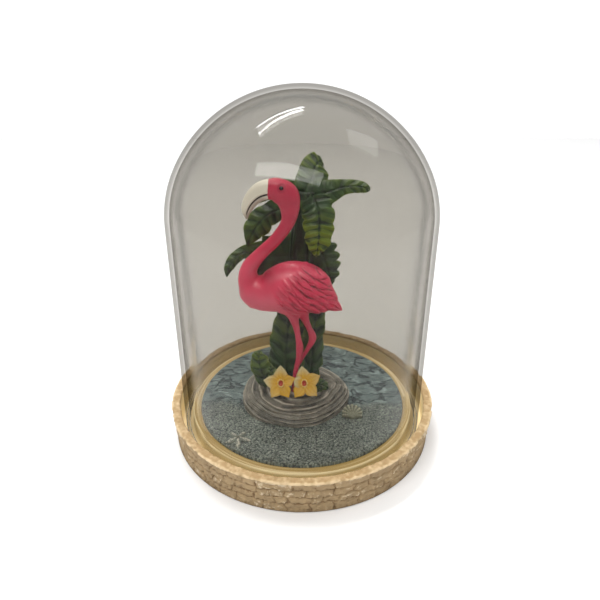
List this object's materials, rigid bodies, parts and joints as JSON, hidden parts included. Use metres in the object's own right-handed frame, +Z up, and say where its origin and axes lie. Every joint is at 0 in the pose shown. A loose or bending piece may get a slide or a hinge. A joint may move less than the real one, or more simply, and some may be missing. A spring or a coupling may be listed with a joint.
{
  "type": "bell jar dome",
  "caption": "Clear bell jar dome lifting off a round cast stone tray, over a painted wading bird figure among leaves and flowers on a rock in a sculpted sea bed.",
  "frame": {"origin": "centre of the felt pad's underside", "axes": "+Z up along the dome's axis, -Y towards the front that the bird's side faces, +X to its tail"},
  "size_m": [0.111, 0.111, 0.139],
  "materials": {
    "dome_glass": "clear blown glass, fire-polished foot",
    "tray_stone": "cast stone, courses of tan stone with pale dry-brushed edges",
    "sea_bed": "blue-grey painted casting, sand grain and ripple cracks",
    "felt": "dark felt",
    "dowel_steel": "plain steel",
    "rock_paint": "grey-brown painted casting with pale strata",
    "shell_paint": "olive-cream painted resin",
    "star_paint": "pale painted resin",
    "leaf_paint": "dark green satin paint, dry-brushed yellow-green",
    "plumage": "pink satin paint with crimson wash in the feather grooves",
    "bill_paint": "cream paint with a black mouth line",
    "eye_black": "dark glossy bead",
    "petal_paint": "yellow petals with white tips",
    "heart_paint": "red-orange throat"
  },
  "bodies": {
    "display_base": {"base_tray": "tray_stone", "sea_disc": "sea_bed", "felt_pad": "felt", "figure_dowels": "dowel_steel", "rock": "rock_paint", "scallop_shell": "shell_paint", "starfish": "star_paint", "stem": "leaf_paint", "torso": "plumage", "neck_and_head": "plumage", "near_wing": "plumage", "far_wing": "plumage", "tail": "plumage", "standing_leg": "plumage", "bent_leg": "plumage", "bill": "bill_paint", "eyes": "eye_black", "leg_wires": "dowel_steel", "left_flower_petals": "petal_paint", "right_flower_petals": "petal_paint", "left_flower_heart": "heart_paint", "right_flower_heart": "heart_paint", "crown_leaf_top": "leaf_paint", "crown_leaf_right": "leaf_paint", "crown_leaf_left": "leaf_paint", "upper_leaf_left": "leaf_paint", "hooked_leaf_left": "leaf_paint", "drooping_leaf": "leaf_paint", "scalloped_leaf": "leaf_paint", "tall_leaf_left": "leaf_paint", "tall_leaf_right": "leaf_paint", "side_leaf_left": "leaf_paint", "side_leaf_right": "leaf_paint", "small_leaf_left": "leaf_paint", "back_leaf_upper": "leaf_paint", "back_leaf_lower": "leaf_paint", "back_leaf_middle": "leaf_paint"},
    "dome": {"glass_dome": "dome_glass"}
  },
  "joints": [
    {"name": "dome_lift", "type": "slide", "parent": "display_base", "child": "dome", "axis": [0, 0, 1], "range_m": [0, 0.125]}
  ]
}
